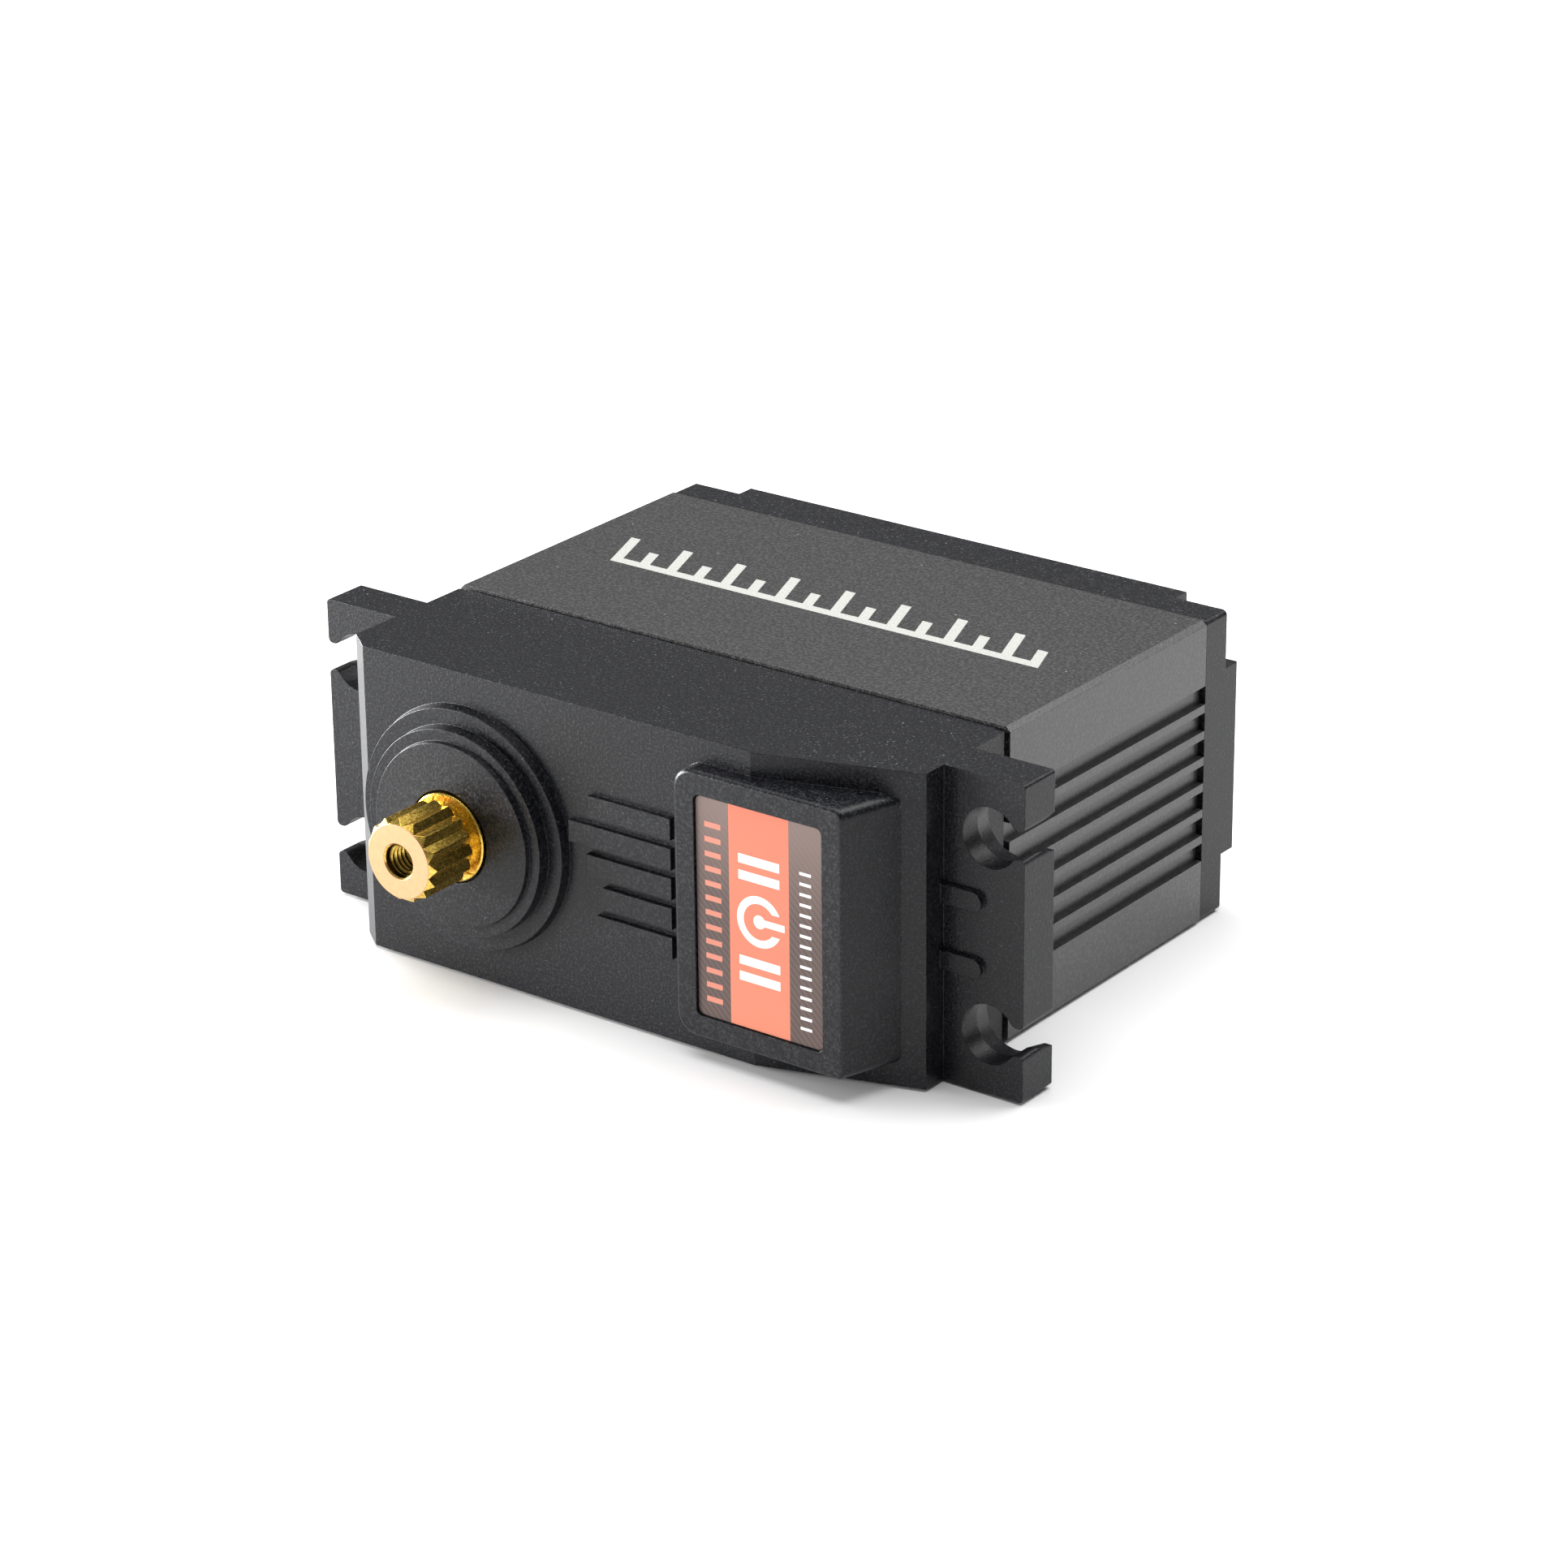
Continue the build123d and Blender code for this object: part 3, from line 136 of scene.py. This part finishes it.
# ---------------------------------------------------------------- material helpers
class Build:
    """Short names for the few node types every finish here is made of."""

    INPUTS = {"color": "Base Color", "rough": "Roughness", "metal": "Metallic", "ior": "IOR",
              "specular": "Specular IOR Level"}

    def __init__(self, name):
        self.mat = bpy.data.materials.new(name)
        self.mat.use_nodes = True
        self.tree = self.mat.node_tree
        self.tree.nodes.clear()
        out = self.tree.nodes.new("ShaderNodeOutputMaterial")
        self.shader = self.tree.nodes.new("ShaderNodeBsdfPrincipled")
        self.link(self.shader.outputs["BSDF"], out.inputs["Surface"])
        self.coord = self.tree.nodes.new("ShaderNodeTexCoord").outputs["Object"]

    def link(self, source, target):
        self.tree.links.new(source, target)

    def put(self, socket, value):
        """Set an input socket from a number, a colour or another node's output."""
        if hasattr(value, "is_linked"):
            self.link(value, socket)
        else:
            socket.default_value = value

    def set(self, **values):
        for key, value in values.items():
            self.put(self.shader.inputs[self.INPUTS[key]], value)

    def math(self, operation, a, b=0.0):
        node = self.tree.nodes.new("ShaderNodeMath")
        node.operation = operation
        self.put(node.inputs[0], a)
        self.put(node.inputs[1], b)
        return node.outputs[0]

    def split(self, vector):
        """The three numbers of a vector or colour."""
        node = self.tree.nodes.new("ShaderNodeSeparateXYZ")
        self.link(vector, node.inputs[0])
        return node.outputs

    def distance(self, a, b):
        """Distance from the middle, from two coordinates."""
        square = self.math("ADD", self.math("MULTIPLY", a, a), self.math("MULTIPLY", b, b))
        return self.math("SQRT", square)

    def noise(self, scale, detail, rough=0.55, stretch=None):
        node = self.tree.nodes.new("ShaderNodeTexNoise")
        node.inputs["Scale"].default_value = scale
        node.inputs["Detail"].default_value = detail
        node.inputs["Roughness"].default_value = rough
        source = self.coord
        if stretch:
            mapping = self.tree.nodes.new("ShaderNodeMapping")
            mapping.inputs["Scale"].default_value = stretch
            self.link(self.coord, mapping.inputs["Vector"])
            source = mapping.outputs[0]
        self.link(source, node.inputs["Vector"])
        return node.outputs["Fac"]

    def ramp(self, value, low, high, start=0.0, end=1.0):
        """Map a value from low..high on to start..end, clamped."""
        node = self.tree.nodes.new("ShaderNodeMapRange")
        node.inputs["From Min"].default_value = low
        node.inputs["From Max"].default_value = high
        node.inputs["To Min"].default_value = start
        node.inputs["To Max"].default_value = end
        self.put(node.inputs["Value"], value)
        return node.outputs["Result"]

    def vary(self, value, middle, below, above):
        """A level near middle that follows the central part of a noise value."""
        return self.ramp(value, 0.3, 0.7, middle - below, middle + above)

    def mix(self, factor, a, b):
        node = self.tree.nodes.new("ShaderNodeMix")
        node.data_type = "RGBA"
        self.put(node.inputs["Factor"], factor)
        self.put(node.inputs[6], a)
        self.put(node.inputs[7], b)
        return node.outputs[2]

    def inside(self, value, low, high, soft=0.00002):
        """1 where a value lies between two limits, 0 elsewhere, with a thin soft edge."""
        above = self.ramp(value, low - soft, low + soft)
        below = self.ramp(value, high + soft, high - soft)
        return self.math("MULTIPLY", above, below)

    def stripes(self, value, start, pitch, thick):
        """1 on every stripe of a row that begins at start."""
        past = self.math("FLOORED_MODULO", self.math("SUBTRACT", value, start), pitch)
        return self.inside(past, 0.0, thick)

    def all_of(self, *masks):
        result = masks[0]
        for mask in masks[1:]:
            result = self.math("MULTIPLY", result, mask)
        return result

    def any_of(self, *masks):
        result = masks[0]
        for mask in masks[1:]:
            result = self.math("MAXIMUM", result, mask)
        return result

    def facing_up(self):
        """1 on faces that look up, falling to 0 on upright ones."""
        geometry = self.tree.nodes.new("ShaderNodeNewGeometry")
        return self.ramp(self.split(geometry.outputs["Normal"])[2], 0.5, 0.9)

    def specks(self, scale, radius, share):
        """Small round dots, one in some of the cells of a random pattern."""
        cells = self.tree.nodes.new("ShaderNodeTexVoronoi")
        cells.inputs["Scale"].default_value = scale
        self.link(self.coord, cells.inputs["Vector"])
        dot = self.ramp(cells.outputs["Distance"], radius, radius * 0.5)
        chosen = self.ramp(self.split(cells.outputs["Color"])[0], share, share * 0.2)
        return self.math("MULTIPLY", dot, chosen)

    def rounded_bump(self, radius, *layers):
        """Rounded-looking edges plus a stack of (height, strength, distance) bumps."""
        bevel = self.tree.nodes.new("ShaderNodeBevel")
        bevel.samples = 8
        bevel.inputs["Radius"].default_value = radius
        normal = bevel.outputs[0]
        for height, strength, distance in layers:
            bump = self.tree.nodes.new("ShaderNodeBump")
            bump.inputs["Strength"].default_value = strength
            bump.inputs["Distance"].default_value = distance
            self.link(height, bump.inputs["Height"])
            self.link(normal, bump.inputs["Normal"])
            normal = bump.outputs[0]
        self.link(normal, self.shader.inputs["Normal"])


# ---------------------------------------------------------------- finishes
def moulded_plastic(name, dust, rough):
    """Grainy black moulding, with dust settled on the faces that look up."""
    m = Build(name)
    cloud = m.noise(90.0, 3.0)
    grain = m.noise(4200.0, 3.0, 0.65)
    tone = m.mix(m.ramp(grain, 0.47, 0.76), PLASTIC_DARK, PLASTIC_LIGHT)
    settled = m.ramp(m.facing_up(), 0.0, 1.0, 0.30, 1.0)
    patchy = m.ramp(cloud, 0.32, 0.62, 0.30, 1.0)
    fine_dust = m.all_of(m.specks(2600.0, 0.27, 0.9), settled, patchy)
    coarse_dust = m.all_of(m.specks(850.0, 0.10, 0.7), settled, patchy)
    tone = m.mix(fine_dust, tone, grey(0.45 * dust, 0.01))
    tone = m.mix(coarse_dust, tone, grey(dust, 0.01))
    m.set(color=tone, rough=m.vary(grain, rough, 0.07, 0.07), ior=IOR, specular=0.30)
    m.rounded_bump(0.0001, (grain, 0.5, 0.00006), (cloud, 0.10, 0.00030))
    return m.mat


def satin_metal(name):
    """Painted metal with a fine orange-peel surface and a white printed scale on its upper side."""
    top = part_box("middle_case")[1].z
    m = Build(name)
    x, y, z = m.split(m.coord)
    peel = m.noise(3400.0, 2.0, 0.6)
    wide = m.noise(60.0, 2.0)
    tone = m.mix(m.ramp(peel, 0.42, 0.74), METAL_DARK, METAL_LIGHT)
    tone = m.mix(m.all_of(m.specks(700.0, 0.08, 0.25), m.facing_up()), tone, METAL_DUST)
    # a row of bars that lean along the case, every second one long, on a line
    lean = m.math("MULTIPLY", m.math("SUBTRACT", y, SCALE_BASE), SCALE_SLANT)
    along = m.math("ADD", x, lean)
    bar = m.stripes(along, SCALE_START, SCALE_PITCH, SCALE_BAR)
    long_bar = m.stripes(along, SCALE_START, 2 * SCALE_PITCH, SCALE_BAR)
    short_top = SCALE_BASE + SCALE_SHORT_SHARE * SCALE_HEIGHT
    short = m.all_of(bar, m.inside(y, SCALE_BASE, short_top))
    tall = m.all_of(long_bar, m.inside(y, SCALE_BASE, SCALE_BASE + SCALE_HEIGHT))
    line = m.inside(y, SCALE_BASE, SCALE_BASE + SCALE_BAR)
    row = m.inside(along, SCALE_START, SCALE_START + SCALE_STEPS * SCALE_PITCH + SCALE_BAR)
    upper_side = m.ramp(z, top - 0.0002, top - 0.0001)
    mark = m.all_of(m.any_of(short, tall, line), row, upper_side)
    tone = m.mix(mark, tone, SCALE_WHITE)
    m.set(color=tone, rough=m.ramp(peel, 0.3, 0.7, 0.34, 0.42), ior=IOR, specular=1.0)
    m.rounded_bump(0.00004, (peel, 0.5, 0.00005), (wide, 0.05, 0.00030))
    return m.mat


def machined_brass(name):
    """Gold brass: a pale turned end face, fine tool marks and painted glints along the teeth, painted
    shade deep in the thread.
    """
    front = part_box("output_shaft")[0].y
    m = Build(name)
    x, y, z = m.split(m.coord)
    marks = m.noise(5200.0, 3.0, 0.65, stretch=(1.0, 0.45, 1.0))
    painted_glint_noise = m.noise(3600.0, 2.0, 0.5)
    turned = m.noise(2400.0, 2.0)
    # the flank colour flecks between dark brass and painted glints, painted highlights in random spots
    flank = m.mix(m.ramp(painted_glint_noise, 0.35, 0.65), BRASS_DARK, BRASS_PAINTED_GLINT)
    face = m.mix(m.ramp(turned, 0.30, 0.70), BRASS_FACE_DARK, BRASS_FACE_LIGHT)
    end = m.ramp(y, front + 0.00006, front + 0.00003)
    tone = m.mix(end, m.mix(m.ramp(y, *COLLAR_FRONT), flank, BRASS_COLLAR), face)
    radius = m.distance(x, z)
    # painted shade: the brass is darkened in a band round the thread roots, deep in the hole
    painted_root_shade = m.all_of(m.ramp(radius, *ROOT_SHADE_RISE), m.ramp(radius, *ROOT_SHADE_FALL))
    tone = m.mix(painted_root_shade, tone, THREAD_ROOT_PAINTED_SHADE)
    face_rough = m.ramp(end, 0.0, 1.0, 0.0, 0.42)
    m.set(color=tone, metal=1.0, rough=m.math("MAXIMUM", m.ramp(marks, 0.3, 0.7, 0.20, 0.34), face_rough))
    m.rounded_bump(0.00004, (marks, 0.3, 0.00002), (painted_glint_noise, 0.12, 0.00004))
    return m.mat


def plain_finish(name, color, rough, metal):
    """Machined metal, moulded plastic or rubber for the small pieces, most of them inside."""
    m = Build(name)
    grain = m.noise(2200.0, 3.0, 0.5) if metal else m.noise(3000.0, 2.0)
    darker = tuple(c * 0.8 for c in color)
    tone = m.mix(m.ramp(grain, 0.3, 0.7), color + (1.0,), darker + (1.0,))
    m.set(color=tone, rough=m.vary(grain, rough, 0.05, 0.08))
    if metal:
        m.set(metal=1.0)
    else:
        m.set(ior=IOR)
    m.rounded_bump(0.00006, (grain, 0.15, 0.00003))
    return m.mat


def label_film(name):
    """Printed film: a coral panel between two dark hatched bands, with plain marks in place of words."""
    low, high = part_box("label")
    width = high.x - low.x
    panel_low, panel_high = (low.x + share * width for share in PANEL_EDGES)
    m = Build(name)
    across, _, height = m.split(m.coord)

    # dark bands with fine slanting lines, paler towards the top
    lines = m.tree.nodes.new("ShaderNodeTexWave")
    lines.bands_direction = "DIAGONAL"
    lines.inputs["Scale"].default_value = 900.0
    lines.inputs["Distortion"].default_value = 0.4
    m.link(m.coord, lines.inputs["Vector"])
    band = m.mix(m.math("MULTIPLY", lines.outputs["Fac"], 0.6), BAND_DARK, BAND_LINES)
    band = m.mix(m.ramp(height, *BAND_FADE), band, BAND_FADED)
    coral = m.mix(m.ramp(height, low.z, high.z), CORAL_LOW, CORAL_HIGH)
    tone = m.mix(m.inside(across, panel_low, panel_high), band, coral)

    # coral ticks in the near band, white ticks in the far one
    near_low, near_high = (low.x + reach for reach in NEAR_TICK_ENDS)
    near_tick = m.all_of(m.stripes(height, TICK_BASE, NEAR_TICK_PITCH, NEAR_TICK_THICK),
                         m.inside(height, TICK_BASE, NEAR_TICK_TOP),
                         m.inside(across, near_low, near_high))
    far_low, far_high = (panel_high + reach for reach in FAR_TICK_ENDS)
    far_tick = m.all_of(m.stripes(height, TICK_BASE, FAR_TICK_PITCH, FAR_TICK_THICK),
                        m.inside(height, TICK_BASE, FAR_TICK_TOP),
                        m.inside(across, far_low, far_high))

    # a dial in the middle of the panel: a broken ring, a pointer, a hub and two pairs of bars
    x = m.math("SUBTRACT", across, (panel_low + panel_high) / 2)
    flat_x = m.math("ABSOLUTE", x)
    flat_z = m.math("ABSOLUTE", height)
    radius = m.distance(x, height)
    unbroken = m.any_of(m.inside(x, -DIAL_REACH, DIAL_GAP_HALF),
                        m.inside(flat_z, DIAL_GAP_HALF, DIAL_REACH))
    ring = m.all_of(m.inside(radius, *DIAL_RING), unbroken)
    pointer = m.all_of(m.inside(x, 0.0, POINTER_LENGTH), m.inside(flat_z, BELOW_ZERO, POINTER_HALF))
    hub = m.inside(radius, BELOW_ZERO, HUB_RADIUS)
    bars = m.all_of(m.stripes(flat_z, BAR_BASE, BAR_PITCH, BAR_THICK),
                    m.inside(flat_z, BAR_BASE, BAR_TOP),
                    m.inside(flat_x, BELOW_ZERO, BAR_HALF))
    tone = m.mix(near_tick, tone, CORAL_TICK)
    tone = m.mix(m.any_of(far_tick, ring, pointer, hub, bars), tone, LABEL_WHITE)

    film = m.noise(2500.0, 2.0)
    m.set(color=tone, rough=m.ramp(film, 0.3, 0.7, 0.32, 0.42), ior=IOR)
    m.rounded_bump(0.00004, (film, 0.06, 0.00003))
    return m.mat


# colour and roughness of each plain finish
PLAIN_METALS = {
    "screw_steel": ((0.10, 0.10, 0.11), 0.40),
    "gear_steel": ((0.52, 0.52, 0.53), 0.32),
    "gear_brass": ((0.80, 0.58, 0.25), 0.32),
    "pin_steel": ((0.62, 0.62, 0.64), 0.20),
    "bearing_steel": ((0.66, 0.66, 0.68), 0.18),
    "motor_steel": ((0.58, 0.58, 0.59), 0.30),
    "magnet": ((0.10, 0.10, 0.11), 0.60),
    "copper_wire": ((0.70, 0.30, 0.13), 0.35),
    "terminal_metal": ((0.75, 0.72, 0.62), 0.30),
}
PLAIN_PLASTICS = {
    "gasket": ((0.008, 0.008, 0.009), 0.7),
    "bell_plastic": ((0.03, 0.03, 0.03), 0.5),
    "carbon": ((0.02, 0.02, 0.02), 0.6),
    "pot_plastic": ((0.02, 0.05, 0.16), 0.5),
    "board_green": ((0.01, 0.10, 0.03), 0.35),
    "chip_plastic": ((0.012, 0.012, 0.012), 0.5),
    "capacitor_sleeve": ((0.02, 0.03, 0.05), 0.35),
}

finishes = {
    "case_plastic": moulded_plastic("case_plastic", dust=0.24, rough=0.33),
    "cover_plastic": moulded_plastic("cover_plastic", dust=0.26, rough=0.34),
    "case_metal": satin_metal("case_metal"),
    "label_film": label_film("label_film"),
    "shaft_brass": machined_brass("shaft_brass"),
}
for table, metal in ((PLAIN_METALS, True), (PLAIN_PLASTICS, False)):
    for name, (color, rough) in table.items():
        finishes[name] = plain_finish(name, color, rough, metal)

slot_of = {s["node"]: s["material_slot"] for s in frame["record"]["subparts"]}
for name, obj in nodes.items():
    obj.data.materials.clear()
    obj.data.materials.append(finishes[slot_of[name]])


# ---------------------------------------------------------------- thread in the mouth of the output shaft
def helix_ridge(name, root, crest, pitch, start, end, steps):
    """Closed three-sided ridge that winds along the inside of a hole, fading out at both ends."""
    turns = (end - start - pitch) / pitch
    count = int(turns * steps)
    mesh = bmesh.new()
    rings = []
    for index in range(count + 1):
        share = index / count
        angle = -2 * math.pi * turns * share  # a right-hand thread
        y = start + pitch / 2 + (end - start - pitch) * share
        fade = min(1.0, 12.0 * share + 0.05, 12.0 * (1.0 - share) + 0.05)
        half = 0.44 * pitch * fade
        tip = root - (root - crest) * fade
        corners = ((root, y - half), (tip, y), (root, y + half))
        ring = [mesh.verts.new((r * math.cos(angle), depth, r * math.sin(angle))) for r, depth in corners]
        rings.append(ring)
    for near, far in zip(rings, rings[1:]):
        for side in range(3):
            other = (side + 1) % 3
            mesh.faces.new((near[side], near[other], far[other], far[side]))
    mesh.faces.new(rings[0][::-1])
    mesh.faces.new(rings[-1])
    bmesh.ops.recalc_face_normals(mesh, faces=mesh.faces)
    data = bpy.data.meshes.new(name)
    mesh.to_mesh(data)
    mesh.free()
    obj = bpy.data.objects.new(name, data)
    bpy.context.scene.collection.objects.link(obj)
    return obj


thread = helix_ridge("screw_thread", THREAD_ROOT_RADIUS, THREAD_CREST_RADIUS, THREAD_PITCH,
                     THREAD_START, THREAD_END, THREAD_STEPS)
thread.data.materials.append(finishes["shaft_brass"])
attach(thread, "output")

# ---------------------------------------------------------------- floor
floor_gap = 0.00002
floor_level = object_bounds()[0].z - floor_gap
bpy.ops.mesh.primitive_plane_add(size=6.0, location=(0, 0, floor_level))
floor = bpy.context.object
floor.name = "floor"
paper = Build("paper")
sheet = paper.noise(40.0, 3.0)
paper.set(color=paper.mix(paper.ramp(sheet, 0.3, 0.7), grey(0.90), grey(0.915)), rough=0.85)
floor.data.materials.append(paper.mat)

# ---------------------------------------------------------------- light
world = bpy.data.worlds.new("studio")
bpy.context.scene.world = world
world.use_nodes = True
background = world.node_tree.nodes["Background"]
background.inputs["Color"].default_value = grey(1.0)
background.inputs["Strength"].default_value = 0.2


def softbox(name, place, target, size, power):
    lamp = bpy.data.lights.new(name, "AREA")
    lamp.shape = "RECTANGLE"
    lamp.size, lamp.size_y = size
    lamp.energy = power
    obj = bpy.data.objects.new(name, lamp)
    bpy.context.scene.collection.objects.link(obj)
    obj.location = place
    obj.rotation_mode = "QUATERNION"
    obj.rotation_quaternion = (Vector(target) - Vector(place)).to_track_quat("-Z", "Y")


# name, place, point it faces, size, watts
softbox("overhead", (0, 0.05, 0.55), (0, 0.02, 0), (0.6, 0.6), 4.35)
softbox("left", (-0.38, -0.06, 0.035), (0, 0, 0), (0.5, 0.09), 8.0)
softbox("far_floor", (-0.45, 0.75, 0.45), (-0.45, 0.75, 0), (0.8, 0.8), 0.45)
softbox("back_right", (0.14, 0.20, 0.22), (0.05, 0.06, 0), (0.20, 0.20), 0.36)

# ---------------------------------------------------------------- camera, solved from the case's corners
CAMERA_PLACE = (0.2643446, -0.3055249, 0.1718398)
CAMERA_YAW, CAMERA_PITCH, CAMERA_ROLL = -0.6443903, 0.3951034, 0.0107289
CAMERA_SENSOR, CAMERA_LENS = 36.0, 114.17  # in millimetres

camera_data = bpy.data.cameras.new("camera")
camera_data.sensor_width = CAMERA_SENSOR
camera_data.lens = CAMERA_LENS
camera_data.dof.use_dof = False
camera_data.clip_start = 0.01
camera_data.clip_end = 20.0
camera = bpy.data.objects.new("camera", camera_data)
bpy.context.scene.collection.objects.link(camera)
ahead = Vector((math.sin(CAMERA_YAW) * math.cos(CAMERA_PITCH),
                math.cos(CAMERA_YAW) * math.cos(CAMERA_PITCH),
                -math.sin(CAMERA_PITCH)))
level = Vector((math.cos(CAMERA_YAW), -math.sin(CAMERA_YAW), 0.0))
plumb = ahead.cross(level)
right = math.cos(CAMERA_ROLL) * level + math.sin(CAMERA_ROLL) * plumb
down = -math.sin(CAMERA_ROLL) * level + math.cos(CAMERA_ROLL) * plumb
turn = Matrix((right, -down, -ahead)).transposed().to_4x4()
camera.matrix_world = Matrix.Translation(CAMERA_PLACE) @ turn
bpy.context.scene.camera = camera

bpy.context.scene.view_settings.view_transform = "Standard"
bpy.context.scene.view_settings.look = "None"
